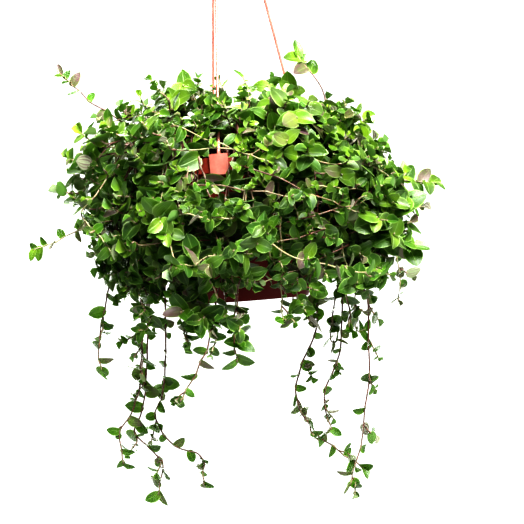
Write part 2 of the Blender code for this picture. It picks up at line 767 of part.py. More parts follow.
trailing = trailing_stems()
pot = make_pot()
soil = make_soil(trailing)
hook = make_hook()
strands = [make_strand(f"hanger_strand_{side}", angle) for side, angle in STRAND_ANGLES.items()]
make_vine(trailing, head_stems(), [pot, soil, hook] + strands)
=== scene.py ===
"""The finish of a turtle vine in its plastic hanging pot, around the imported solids.

The sections follow the object as it is put together: the hanger, the pot, the soil, the plan of the vine,
its leaves, its stems and pieces, and last the place where it hangs to be looked at. Lengths are in metres.
The vine's own plan is in millimetres from the centre of the pot's rim, like the plan of its solids.
"""

import math
import random

import bpy
import numpy as np
from mathutils import Matrix, Vector
from mathutils.kdtree import KDTree


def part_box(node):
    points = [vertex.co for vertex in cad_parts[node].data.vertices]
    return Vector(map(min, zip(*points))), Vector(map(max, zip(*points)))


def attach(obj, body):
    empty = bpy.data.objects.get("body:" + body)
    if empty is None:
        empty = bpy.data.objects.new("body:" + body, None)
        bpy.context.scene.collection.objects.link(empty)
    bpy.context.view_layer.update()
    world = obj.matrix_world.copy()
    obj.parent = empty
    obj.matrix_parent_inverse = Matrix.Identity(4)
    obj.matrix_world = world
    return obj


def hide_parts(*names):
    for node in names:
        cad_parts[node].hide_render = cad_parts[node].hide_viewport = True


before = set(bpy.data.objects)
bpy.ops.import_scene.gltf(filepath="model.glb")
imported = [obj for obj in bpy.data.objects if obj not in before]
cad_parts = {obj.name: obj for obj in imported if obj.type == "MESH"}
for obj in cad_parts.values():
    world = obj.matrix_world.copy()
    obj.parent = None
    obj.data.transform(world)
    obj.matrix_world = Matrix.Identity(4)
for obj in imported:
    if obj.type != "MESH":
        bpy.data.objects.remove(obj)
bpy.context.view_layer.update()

# The hanger is moulded in one go from salmon red plastic: an open hook with a small hub under it, and three
# thin strands that end in clips. The clips are pressed over the rim of the pot from outside.
MM = 0.001
UP = Vector((0, 0, 1))
pot_low, pot_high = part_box("pot")
RIM_CENTRE = Vector((0, 0, pot_high.z))
RIM_RADIUS = pot_high.x
HOOK_INNER_RADIUS = 11 * MM
HOOK_RADIUS = 2.25 * MM
HUB_DEPTH = 40 * MM
HUB_HEIGHT = 9 * MM
HUB_RADIUS = 7 * MM
STRAND_RADIUS = 1.1 * MM
STRAND_ANGLES = {"front": -12, "back_left": -160.5, "back_right": 132}
CLIP_WIDTH = 15 * MM
CLIP_HEIGHT = 14 * MM
CLIP_THICKNESS = 2 * MM
CLIP_BULGE = 1.2 * MM
CLIP_ABOVE_RIM = 2.3 * MM
CLIP_REACH = 2.8 * MM
SALMON = (0.46, 0.155, 0.115, 1)
# Painted shade for the foot of the pot: its deep red, how far it fades in, and the height to use where there
# is none.
PAINTED_SHADE_RED = (0.10, 0.007, 0.005, 1)
PAINTED_SHADE_FADE = 50 * MM
NO_PAINTED_SHADE = -9


class Value:
    """A number, vector or colour in a shader. Arithmetic on it adds the Math nodes."""

    def __init__(self, shader, socket):
        self.shader = shader
        self.socket = socket

    def math(self, operation, *others):
        return self.shader.node("ShaderNodeMath", dict(enumerate((self, *others))), operation=operation)

    def __add__(self, other):
        return self.math("ADD", other)

    def __sub__(self, other):
        return self.math("SUBTRACT", other)

    def __rsub__(self, other):
        return self.math("MULTIPLY_ADD", -1, other)

    def __mul__(self, other):
        return self.math("MULTIPLY", other)

    __radd__ = __add__
    __rmul__ = __mul__

    def size(self):
        return self.math("ABSOLUTE")

    def fraction(self):
        return self.math("FRACT")

    def step(self, low, high):
        """0 below low and 1 above high, with a soft step between them."""
        inputs = {0: self, 1: low, 2: high}
        return self.shader.node("ShaderNodeMapRange", inputs, interpolation_type="SMOOTHSTEP")

    def parts(self):
        return [self.shader.node("ShaderNodeSeparateXYZ", {0: self}, output) for output in range(3)]


class Shader:
    """The nodes of a material or the world: its surface has these constants, and more are added by type."""

    def __init__(self, owner, surface="Principled BSDF", output="Material Output", **constants):
        owner.use_nodes = True
        self.owner = owner
        self.tree = owner.node_tree
        self.surface = self.tree.nodes[surface]
        self.end = self.tree.nodes[output].inputs[0]
        self.give(**constants)

    def feed(self, socket, value):
        if isinstance(value, Value):
            self.tree.links.new(value.socket, socket)
        else:
            socket.default_value = value

    def node(self, kind, inputs, output=0, **settings):
        made = self.tree.nodes.new(kind)
        for setting, value in settings.items():
            setattr(made, setting, value)
        for socket, value in inputs.items():
            self.feed(made.inputs[socket], value)
        return Value(self, made.outputs[output])

    def mix(self, factor, first, second):
        """The second colour over the first, by this factor."""
        inputs = {0: factor, 6: first, 7: second}
        return self.node("ShaderNodeMix", inputs, 2, data_type="RGBA")

    def place(self):
        return self.node("ShaderNodeTexCoord", {}, "Object")

    def noise(self, scale, detail=2.0, roughness=0.5):
        inputs = {"Vector": self.place(), "Scale": scale, "Detail": detail, "Roughness": roughness}
        return self.node("ShaderNodeTexNoise", inputs)

    def attribute(self, name):
        return self.node("ShaderNodeAttribute", {}, "Fac", attribute_name=name)

    def give(self, **values):
        """Feeds these sockets of the surface."""
        for socket, value in values.items():
            self.feed(self.surface.inputs[socket.replace("_", " ")], value)

    def bump(self, height, depth):
        """Raises the surface by this height, which is 1 at the depth given in metres."""
        self.give(Normal=self.node("ShaderNodeBump", {"Height": height, "Distance": depth}))

    def cover(self, factor, other):
        """Lays another kind of surface over this one, by this factor."""
        under = Value(self, self.surface.outputs[0])
        self.feed(self.end, self.node("ShaderNodeMixShader", {0: factor, 1: under, 2: other}))


def deselect():
    for obj in bpy.context.selected_objects:
        obj.select_set(False)


def add_object(name, data):
    obj = bpy.data.objects.new(name, data)
    bpy.context.scene.collection.objects.link(obj)
    return obj


def edit(action="SELECT"):
    """Into edit mode, with everything selected or nothing."""
    bpy.ops.object.mode_set(mode="EDIT")
    bpy.ops.mesh.select_all(action=action)


def leave_edit():
    bpy.ops.object.mode_set(mode="OBJECT")


def only(obj):
    """Makes this the one selected and active object."""
    deselect()
    obj.select_set(True)
    bpy.context.view_layer.objects.active = obj
    return obj


def apply_modifier(obj, kind, **settings):
    modifier = only(obj).modifiers.new(kind.lower(), kind)
    for setting, value in settings.items():
        setattr(modifier, setting, value)
    bpy.ops.object.modifier_apply(modifier=modifier.name)


def shade(obj, sharp=50):
    """Smooth shading, except over the edges where the surface turns by more degrees than this."""
    only(obj)
    bpy.ops.object.shade_smooth_by_angle(angle=math.radians(sharp))


def round_edges(obj, width, angle=35):
    """Small rounds on the sharp edges, and smooth shading over them."""
    limit = math.radians(angle)
    apply_modifier(obj, "BEVEL", width=width, segments=2, limit_method="ANGLE", angle_limit=limit)
    shade(obj)


def rods(name, lines, resolution=1):
    """One mesh of round rods, each along its own points with a radius at each."""
    curve = bpy.data.curves.new(name, "CURVE")
    curve.dimensions = "3D"
    curve.bevel_depth = 1
    curve.bevel_resolution = resolution
    curve.use_fill_caps = True
    for points, radii in lines:
        spline = curve.splines.new("POLY")
        spline.points.add(len(points) - 1)
        for at, point, radius in zip(spline.points, points, radii):
            at.co = (*point, 1)
            at.radius = radius
    only(add_object(name, curve))
    bpy.ops.object.convert(target="MESH")
    obj = bpy.context.object
    edit()
    bpy.ops.mesh.remove_doubles(threshold=0.000001)
    leave_edit()
    obj.data.shade_smooth()
    return obj


def join(name, objects):
    """These objects as one, by this name."""
    only(objects[0])
    for obj in objects:
        obj.select_set(True)
    bpy.ops.object.join()
    objects[0].name = name
    objects[0].data.name = name
    return objects[0]


def dress(obj, *materials):
    """Gives the object these materials in place of those that it has."""
    obj.data.materials.clear()
    for material in materials:
        obj.data.materials.append(material)


def put_on(piece, slot, *nodes):
    """The piece moves with the object and stands for these solids. The slot is not used."""
    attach(piece, "root")
    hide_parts(*nodes)


def towards(angle):
    """The level direction at this many degrees round the pot, from the front towards the right."""
    turn = math.radians(angle)
    return Vector((math.sin(turn), -math.cos(turn), 0))


def moulded_plastic(name, colour, roughness, clear, gloss, painted_shade_below=NO_PAINTED_SHADE):
    """Satin plastic with a faint cloudiness, the fine grain of its mould and painted shade that darkens its
    foot, below the given height.
    """
    plastic = Shader(bpy.data.materials.new(name), Specular_IOR_Level=gloss, Subsurface_Weight=clear)
    cloud = plastic.noise(60, 4, 0.6)
    grain = plastic.noise(900, 2)
    paler = tuple(channel * 1.25 + 0.02 for channel in colour[:3]) + (1,)
    darker = tuple(channel * 0.72 for channel in colour[:3]) + (1,)
    clouded = plastic.mix(cloud.step(0.3, 0.7), darker, paler)
    # Painted shade: below the given height the colour darkens to a deep red, for the shade under the head.
    painted_foot_shade = 1 - plastic.place().parts()[2].step(painted_shade_below - PAINTED_SHADE_FADE, painted_shade_below)
    plastic.give(Subsurface_Scale=2 * MM, Roughness=cloud * 0.2 + roughness)
    plastic.give(Base_Color=plastic.mix(painted_foot_shade, clouded, PAINTED_SHADE_RED))
    plastic.bump(grain + cloud * 2, 0.06 * MM)
    return plastic.owner


def make_hook(material):
    bow_centre = Vector((0, 0, -HOOK_INNER_RADIUS))
    middle = HOOK_INNER_RADIUS + HOOK_RADIUS
    shank = [(0, -HUB_DEPTH + HUB_HEIGHT / 2), (0, -32 * MM), (0.9 * MM, -29 * MM), (3.6 * MM, -25.4 * MM)]
    points = [Vector((x, 0, z)) for x, z in shank]
    for angle in range(-50, 201, 6):
        turn = math.radians(angle)
        points.append(bow_centre + middle * Vector((math.cos(turn), 0, math.sin(turn))))
    points.append(points[-1] + Vector((-1.6, 0, -2.2)) * MM)
    radii = [HOOK_RADIUS] * (len(points) - 1) + [0.7 * HOOK_RADIUS]
    hook = rods("hook", [(points, radii)], 4)
    deselect()
    bpy.ops.mesh.primitive_cylinder_add(
        vertices=40, radius=HUB_RADIUS, depth=HUB_HEIGHT, location=(0, 0, -HUB_DEPTH + HUB_HEIGHT / 2))
    hub = bpy.context.object
    bpy.ops.object.transform_apply(location=True)
    edit()
    bpy.ops.mesh.bisect(plane_co=(0, 0, -HUB_DEPTH + HUB_HEIGHT * 0.45), plane_no=(0, 0, 1))
    edit("DESELECT")
    leave_edit()
    for vert in hub.data.vertices:
        vert.select = vert.co.z > -HUB_DEPTH + HUB_HEIGHT * 0.9
    bpy.ops.object.mode_set(mode="EDIT")
    bpy.ops.transform.resize(value=(0.42, 0.42, 1))
    leave_edit()
    round_edges(hub, 0.5 * MM)
    hook = join("hanger_hook_moulding", [hook, hub])
    dress(hook, material)
    put_on(hook, "hanger_plastic", "hanger_hook")


def make_clip():
    """The clip at the front of the rim, as if the rim's edge were at the origin and outwards were -Y."""
    deselect()
    bpy.ops.mesh.primitive_cube_add(size=1, location=(0, -CLIP_THICKNESS / 2 - 0.3 * MM, 0))
    clip = bpy.context.object
    clip.scale = (CLIP_WIDTH, CLIP_THICKNESS, CLIP_HEIGHT + CLIP_ABOVE_RIM)
    clip.location.z = (CLIP_ABOVE_RIM - CLIP_HEIGHT) / 2
    bpy.ops.object.transform_apply(location=True, scale=True)
    bpy.ops.object.mode_set(mode="EDIT")
    bpy.ops.mesh.bisect(plane_co=(0, 0, 0.3 * MM), plane_no=(0, 0, 1))
    for share in (-0.3, 0, 0.3):
        bpy.ops.mesh.select_all(action="SELECT")
        bpy.ops.mesh.bisect(plane_co=(share * CLIP_WIDTH, 0, 0), plane_no=(1, 0, 0))
    leave_edit()
    for vert in clip.data.vertices:
        if vert.co.y < -CLIP_THICKNESS:
            vert.co.y -= CLIP_BULGE * (1 - (2 * vert.co.x / CLIP_WIDTH) ** 2)
    steps = [
        ((0, 1, 0), 0.3 * MM, (0, CLIP_REACH + 0.3 * MM, 0)),
        ((0, 1, 0), 0.3 * MM, (0, CLIP_THICKNESS, 0)),
        ((0, 0, -1), CLIP_REACH, (0, 0, -CLIP_HEIGHT / 2)),
    ]
    for facing, beyond, move in steps:
        for face in clip.data.polygons:
            centre = face.center
            inner = centre.y > beyond if facing[2] else centre.z > beyond
            face.select = face.normal.dot(Vector(facing)) > 0.9 and inner
        bpy.ops.object.mode_set(mode="EDIT")
        bpy.ops.mesh.select_mode(type="FACE")
        bpy.ops.mesh.extrude_region_move(TRANSFORM_OT_translate={"value": move})
        leave_edit()
    shade(clip)
    return clip


def make_strands(material):
    clip = make_clip()
    for side, angle in STRAND_ANGLES.items():
        out = towards(angle)
        foot = RIM_CENTRE + out * (RIM_RADIUS + 0.3 * MM + CLIP_THICKNESS / 2) - UP * (2 * MM)
        mouth = out * 0.55 * HUB_RADIUS - UP * HUB_DEPTH
        top = mouth + (mouth - foot).normalized() * 4 * MM
        points = [foot.lerp(top, k / 40) for k in range(41)]
        thick_foot = [STRAND_RADIUS * (1 + 0.5 * max(0, 1 - k / 3)) for k in range(41)]
        strand = rods("strand", [(points, thick_foot)], 4)
        pressed_on = add_object("clip", clip.data.copy())
        turn = Matrix.Rotation(math.radians(angle), 4, "Z")
        pressed_on.data.transform(Matrix.Translation(RIM_CENTRE + out * RIM_RADIUS) @ turn)
        strand = join(f"hanger_strand_{side}_moulding", [strand, pressed_on])
        dress(strand, material)
        put_on(strand, "hanger_plastic", f"hanger_strand_{side}")
    bpy.data.objects.remove(clip, do_unlink=True)


hanger_plastic = moulded_plastic("salmon_plastic", SALMON, 0.20, clear=0.25, gloss=0.7)
make_hook(hanger_plastic)
make_strands(hanger_plastic)

# The pot is a tapered bowl of terracotta red plastic, blown thin, with a raised band under its rim and five
# drain holes in its floor. Its rim is what the clips hold.
POT_BASE_RADIUS = 48 * MM
POT_WALL = 2 * MM
BAND_HEIGHT = 12 * MM
BAND_STEP = 3 * MM
DRAIN_RADIUS = 3.5 * MM
DRAIN_RING_RADIUS = 30 * MM
DRAIN_COUNT = 5
# How far under the rim the painted shade on the pot's foot starts.
PAINTED_SHADE_BELOW_RIM = 45 * MM
TERRACOTTA = (0.33, 0.055, 0.032, 1)


def add_disc(vertices, radius, height):
    """A level round face round the axis."""
    deselect()
    place = (0, 0, height)
    bpy.ops.mesh.primitive_circle_add(vertices=vertices, radius=radius, fill_type="NGON", location=place)
    bpy.ops.object.transform_apply(location=True)
    return bpy.context.object


def face_outwards():
    edit()
    bpy.ops.mesh.normals_make_consistent(inside=False)
    leave_edit()


def make_pot():
    top = pot_high.z
    base = pot_low.z
    wall = RIM_RADIUS - BAND_STEP
    under_band = top - BAND_HEIGHT
    rings = [
        (POT_BASE_RADIUS, base), (wall, under_band), (RIM_RADIUS, under_band), (RIM_RADIUS, top),
        (RIM_RADIUS - POT_WALL, top), (RIM_RADIUS - POT_WALL, under_band + POT_WALL),
        (wall - POT_WALL, under_band), (POT_BASE_RADIUS - POT_WALL, base + POT_WALL),
    ]
    pot = add_disc(112, POT_BASE_RADIUS, base)
    edit()
    for (radius, height), (next_radius, next_height) in zip(rings, rings[1:]):
        bpy.ops.mesh.extrude_region_move(TRANSFORM_OT_translate={"value": (0, 0, next_height - height)})
        bpy.ops.transform.resize(value=(next_radius / radius, next_radius / radius, 1))
    face_outwards()
    for k in range(DRAIN_COUNT):
        centre = towards(360 * k / DRAIN_COUNT) * DRAIN_RING_RADIUS + UP * base
        deselect()
        bpy.ops.mesh.primitive_cylinder_add(
            vertices=24, radius=DRAIN_RADIUS, depth=6 * POT_WALL, location=centre)
        drill = bpy.context.object
        apply_modifier(pot, "BOOLEAN", object=drill, operation="DIFFERENCE")
        bpy.data.objects.remove(drill, do_unlink=True)
    round_edges(pot, 0.6 * MM, 20)
    pot.name = "pot_moulding"
    painted_shade_below = top - PAINTED_SHADE_BELOW_RIM
    dress(pot, moulded_plastic("terracotta_plastic", TERRACOTTA, 0.36, 0.08, 0.2, painted_shade_below))
    put_on(pot, "pot_plastic", "pot")


make_pot()

# The soil is a dark, crumbly peat mix that fills the pot to a finger's width under its rim. It is poured in
# loose and has settled unevenly around the stems.
SOIL_RINGS = 9
PEAT = (0.030, 0.018, 0.011, 1)
PEAT_CRUMBS = (0.075, 0.048, 0.030, 1)
PERLITE = (0.42, 0.40, 0.36, 1)


def peat():
    soil = Shader(bpy.data.materials.new("peat"), Roughness=0.95)
    crumbs = soil.noise(420, 5, 0.7)
    specks = soil.noise(160, 1).step(0.74, 0.78)
    dark = soil.mix(crumbs.step(0.35, 0.7), PEAT, PEAT_CRUMBS)
    soil.give(Base_Color=soil.mix(specks, dark, PERLITE))
    soil.bump(crumbs, 1.2 * MM)
    return soil.owner


def make_soil():
    low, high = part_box("soil")
    radius = high.x
    soil = add_disc(64, radius, high.z - 2 * MM)
    edit()
    for _ in range(SOIL_RINGS):
        bpy.ops.mesh.inset(thickness=radius / (SOIL_RINGS + 1.5))
    bpy.ops.mesh.poke()
    edit()
    bpy.ops.transform.vertex_random(offset=0.8 * MM, seed=5)
    edit()
    bpy.ops.mesh.extrude_region_move(TRANSFORM_OT_translate={"value": (0, 0, low.z - high.z + 4 * MM)})
    bpy.ops.transform.resize(value=(0.62, 0.62, 1))
    face_outwards()
    shade(soil)
    soil.name = "potting_soil"
    dress(soil, peat())
    put_on(soil, "soil", "soil")


make_soil()

# The vine's plan: where each stem runs and where its leaves sit. The stems root in the soil, the long ones
# cross the rim and trail, and the short ones arch up and out into the round head and branch there.
LINE_STEP = 2
TIP_GAP = 2.4
ZIGZAG = 0.07
GOLDEN_ANGLE = 137.508
SEED = 11
HEAD_CENTRE = Vector((0, 0, -12))
MOUND = [(0, 48), (36, 50), (74, 41), (104, 18), (126, -10), (131, -42), (120, -70), (101, -92), (88, -106)]
MOUND_SHOULDER = 20
BESIDE_POT = 88
MOUND_FALLS_RIGHT = 0.27
MOUND_RISES_LEFT = 0.13
ROOT = (46, 6)
OVER_RIM = 83
RIM_CROSSING = [(64, -10), (69, 2), (76, 6.5), (82, 0), (83.5, -16), (85.5, -58)]
TO_LIGHT = Vector((0.10, -0.55, 0))
LIFT = 0.75
HANGING_LESS = 0.45
HANGING_DEPTH = 90
FACING_TURN = 0.12

# What the stems of a kind have in common. Class Stem says what each value means.
TRAILING = dict(bare=95, spacing=13, crowding=3.2, radius=1.0, rosette=0.4, tip_leaf=0.75, woody=1)
SPRIG = dict(bare=34, spacing=11, crowding=1.35)
ROSETTE = dict(SPRIG, tip_leaf=0.85, rosette=0.85, woody=0.2)
RUNNER = dict(spacing=11, crowding=1.35, rosette=0.7, woody=0.1)
# Long stems: the angle at which each crosses the rim, its route to its tip, and its full-grown leaf's length
TRAILING_STEMS = {
    "trail_left_long": dict(TRAILING, angle=-106, leaf=12, route=[
        (-93, 27, -83), (-98, 25, -152), (-106, 25, -195), (-122, 25, -222), (-121, 25, -250)]),
    "trail_left_lowest": dict(TRAILING, angle=-119, leaf=15, tip_leaf=1.0, rosette=0.3, turn=90, route=[
        (-88, 42, -80), (-94, 38, -150), (-101, 34, -200), (-110, 32, -222), (-94, 30, -242),
        (-88, 30, -250), (-94, 30, -278)]),
    "trail_left_inner": dict(TRAILING, angle=-132, leaf=12, route=[
        (-74, 57, -80), (-79, 50, -150), (-84, 44, -190), (-92, 40, -212), (-78, 36, -237), (-56, 32, -247),
        (-54, 32, -274)]),
    "trail_far_left": dict(TRAILING, angle=-93, leaf=14, route=[
        (-108, 0, -66), (-121, -6, -106), (-130, -10, -143), (-129, -10, -166)]),
    "trail_centre": dict(TRAILING, angle=-3, leaf=11, route=[
        (-16, -92, -70), (-32, -90, -135), (-48, -86, -168), (-61, -84, -188)]),
    "trail_centre_short": dict(TRAILING, angle=7, leaf=14, tip_leaf=0.95, route=[
        (2, -96, -66), (-14, -96, -128), (-14, -92, -160)]),
    "trail_right_long": dict(TRAILING, angle=121, leaf=12, route=[
        (62, 62, -80), (57, 60, -114), (54, 60, -148), (38, 60, -180), (32, 60, -208), (48, 58, -240),
        (88, 56, -274)]),
    "trail_right_short": dict(TRAILING, angle=111, leaf=11.5, route=[
        (84, 44, -70), (78, 46, -128), (72, 46, -170), (56, 44, -205), (60, 44, -236)]),
    "trail_right_lowest": dict(
        TRAILING, angle=99, leaf=12, spacing=30, tip_leaf=1.0, rosette=0.3, turn=90,
        route=[(96, 24, -80), (98, 30, -160), (88, 34, -230), (72, 36, -284)]),
}
# Stems of the head that reach further than the rest
SPRIGS = {
    "sprig_upper_left": dict(SPRIG, leaf=12, spacing=19, shoots=0, tip_leaf=0.75, woody=1, lit=2, route=[
        (-50, 8, 20), (-78, 12, 33), (-118, 10, 58), (-147, 10, 88)]),
    "sprig_left": dict(SPRIG, leaf=13, spacing=18, shoots=0, tip_leaf=0.8, lit=1, route=[
        (-52, -10, 20), (-84, -14, 22), (-112, -20, -28), (-150, -22, -52), (-177, -22, -60)]),
    "sprig_top_right": dict(
        SPRIG, leaf=17, spacing=9, shoots=0, bare=68, tip_leaf=1.0, rosette=0.1, woody=0.8, turn=90, lit=5,
        route=[(40, 4, 22), (70, 4, 34), (73, 3, 56), (53, 2, 88)]),
    "sprig_top_centre": dict(SPRIG, leaf=12, spacing=8, shoots=0, tip_leaf=0.85, route=[
        (16, -6, 20), (17, -5, 42), (7, 0, 72)]),
    "sprig_front": dict(SPRIG, leaf=14, tip_leaf=0.7, spacing=9, rosette=0.5, route=[
        (-2, -30, 18), (-6, -66, 26), (-10, -90, 42)]),
    "sprig_front_left": dict(SPRIG, leaf=16, spacing=9, rosette=0.3, shoots=1, route=[
        (-10, -30, 18), (-24, -70, 20), (-29, -92, 28)]),
    "sprig_right": dict(SPRIG, leaf=15, spacing=15, shoots=0, tip_leaf=0.75, woody=0.8, lit=1, route=[
        (54, -8, 20), (88, -10, 20), (122, -10, -20), (162, -10, -31)]),
    "rosette_back": dict(ROSETTE, leaf=15, woody=0.5, route=[
        (-14, 6, 20), (-30, 22, 44), (-40, 12, 62), (-43, -6, 68)]),
    "rosette_back_inner": dict(ROSETTE, leaf=14, woody=0.5, route=[
        (-14, -4, 20), (-34, 10, 36), (-48, 0, 50), (-52, -18, 56)]),
    "rosette_top": dict(ROSETTE, leaf=13, route=[(30, 14, 22), (34, 30, 40), (30, 24, 58), (27, 8, 64)]),
    "rosette_top_right": dict(ROSETTE, leaf=15, route=[
        (36, 14, 22), (44, 34, 40), (46, 26, 56), (45, 8, 60)]),
    "rosette_upper_front": dict(ROSETTE, leaf=16, woody=0.35, route=[
        (8, -10, 20), (18, -24, 36), (26, -40, 40), (28, -58, 40)]),
    "rosette_front": dict(ROSETTE, leaf=16, woody=0.35, route=[
        (14, -30, 20), (30, -66, 34), (42, -92, 26), (46, -112, 22)]),
    "rosette_front_low": dict(ROSETTE, leaf=15, route=[
        (10, -36, 20), (24, -80, 26), (34, -106, 8), (37, -124, 4)]),
    "rosette_upper_right": dict(ROSETTE, leaf=15, woody=0.15, route=[
        (30, -30, 20), (60, -72, 22), (74, -98, -14), (76, -118, -24)]),
    "rosette_left": dict(ROSETTE, leaf=17, woody=0.1, route=[
        (-24, -36, 20), (-52, -76, 22), (-62, -112, -36), (-62, -130, -50)]),
    "rosette_centre": dict(ROSETTE, leaf=15, woody=0.6, route=[
        (4, -40, 20), (6, -88, 20), (8, -122, -56), (9, -138, -72)]),
    "rosette_high": dict(ROSETTE, leaf=18, route=[
        (46, -22, 20), (84, -36, 22), (112, -42, -28), (124, -52, -46), (129, -72, -42)]),
    "rosette_high_inner": dict(ROSETTE, leaf=17, route=[
        (42, -28, 20), (76, -46, 24), (102, -52, -30), (112, -60, -54), (117, -82, -52)]),
    "rosette_middle": dict(ROSETTE, leaf=18, route=[
        (40, -34, 20), (70, -56, 24), (98, -60, -40), (110, -66, -74), (115, -88, -70)]),
    "rosette_inner": dict(ROSETTE, leaf=17, route=[
        (34, -40, 20), (56, -70, 22), (84, -76, -36), (96, -80, -60), (102, -100, -57)]),
    "rosette_low": dict(ROSETTE, leaf=17, route=[
        (32, -42, 20), (56, -70, 24), (80, -72, -60), (93, -72, -98), (99, -92, -97)]),
    "rosette_lowest": dict(ROSETTE, leaf=17, route=[
        (22, -48, 20), (44, -76, 22), (70, -80, -60), (79, -80, -104), (83, -98, -106)]),
    "rosette_outer": dict(ROSETTE, leaf=17, route=[
        (50, -14, 20), (88, -26, 24), (116, -34, -50), (126, -46, -82), (133, -66, -80)]),
    "sprig_right_fringe": dict(SPRIG, leaf=15, route=[
        (52, 2, 20), (86, 5, 24), (114, 8, -30), (126, 8, -100), (123, 8, -128)]),
}
# Long bare shoots that lie over the front of the head, and their first leaf's distance from the root
RUNNERS = {
    "runner_right_front": dict(RUNNER, leaf=13, bare=175, route=[
        (10, -40, 16), (9, -90, 12), (3, -114, -32), (3, -124, -50), (15, -130, -67), (35, -128, -83),
        (68, -120, -93), (88, -108, -99), (110, -92, -102)]),
    "runner_top_left": dict(RUNNER, leaf=13, bare=130, route=[
        (40, -40, 20), (34, -84, 18), (11, -118, -3), (-4, -122, 1), (-18, -122, 3), (-35, -120, 3),
        (-50, -114, 7), (-62, -102, 23)]),
    "runner_left_front": dict(RUNNER, leaf=12, bare=110, route=[
        (10, -40, 20), (8, -90, 8), (-2, -118, -44), (-22, -126, -49), (-41, -126, -45), (-64, -118, -43)]),
    "runner_middle": dict(RUNNER, leaf=15, bare=140, route=[
        (-46, -40, 18), (-60, -80, 6), (-56, -118, -70), (-44, -128, -83), (-29, -130, -78),
        (-8, -130, -77), (7, -128, -78)]),
    "runner_right_back": dict(RUNNER, leaf=14, bare=90, route=[
        (40, -40, 20), (53, -92, -6), (71, -106, -15), (84, -104, -14), (97, -96, -17), (112, -84, -24),
        (121, -72, -40)]),
    "runner_left": dict(RUNNER, leaf=12, bare=70, route=[
        (-44, -20, 20), (-84, -40, 22), (-114, -62, -19), (-128, -66, -36), (-113, -76, -56),
        (-103, -82, -72)]),
}
# Shoots that hang in front of the pot's lower part: each one's tip, and its full-grown leaf's length
DROPS = {
    "drop_left": dict(tip=(-55, -92, -119), leaf=17),
    "drop_left_low": dict(tip=(-44, -94, -131), leaf=16),
    "drop_middle": dict(tip=(-22, -94, -125), leaf=16),
    "drop_middle_low": dict(tip=(-12, -95, -146), leaf=14),
    "drop_right": dict(tip=(26, -92, -131), leaf=11),
    "drop_right_high": dict(tip=(40, -90, -120), leaf=12),
    "drop_side_left": dict(tip=(-92, -56, -132), leaf=13),
    "drop_back_right": dict(tip=(73, 40, -158), leaf=15),
    "drop_far_right": dict(tip=(96, 30, -150), leaf=13),
    "drop_back": dict(tip=(53, 52, -138), leaf=14),
}
# Where the leaves part and the pot shows from the front: a point of its wall, and how far round it
OPENINGS = [
    ((-64, -44, -9), 5), ((-34, -70, -9), 5), ((-39, -67, -18), 4.5), ((-14, -75, -29), 4.5),
    ((-54, -50, -33), 4), ((5, -48, -110), 6), ((-24, -44, -107), 5),
]
FRONT_CLIP = (-17, -80, -6.5)
CLIP_SHOWN = 10.5
SEEN_FROM = Vector((11, -1100, -85))
LIT_FROM = Vector((600, -1500, 1330))
DRAPED_STEMS = 6
DRAPED_APART = 14
CLIP_CLEARANCE = 12
HEAD_STEMS = 155
INNER_STEMS = 44
HEM_STEMS = 26
LOOSE_STEMS = 30


def smooth_line(points):
    """Points LINE_STEP apart on a smooth curve through the given ones."""
    points = [Vector(p) for p in points]
    ends = [2 * points[0] - points[1]] + points + [2 * points[-1] - points[-2]]
    fine = [points[0]]
    for before, a, b, after in zip(ends, ends[1:], ends[2:], ends[3:]):
        for step in range(1, 21):
            t = step / 20
            fine.append(0.5 * (
                2 * a + (b - before) * t + (2 * before - 5 * a + 4 * b - after) * t * t
                + (3 * a - before - 3 * b + after) * t * t * t
            ))
    lengths = np.cumsum([0] + [(b - a).length for a, b in zip(fine, fine[1:])])
    wanted = np.arange(0, lengths[-1], LINE_STEP)
    columns = [np.interp(wanted, lengths, [p[axis] for p in fine]) for axis in range(3)]
    return [Vector(p) for p in zip(*columns)]


def around(angle, radius, height):
    """The point this many degrees round the pot, at this distance from its axis and height over its rim."""
    return towards(angle) * radius + UP * height


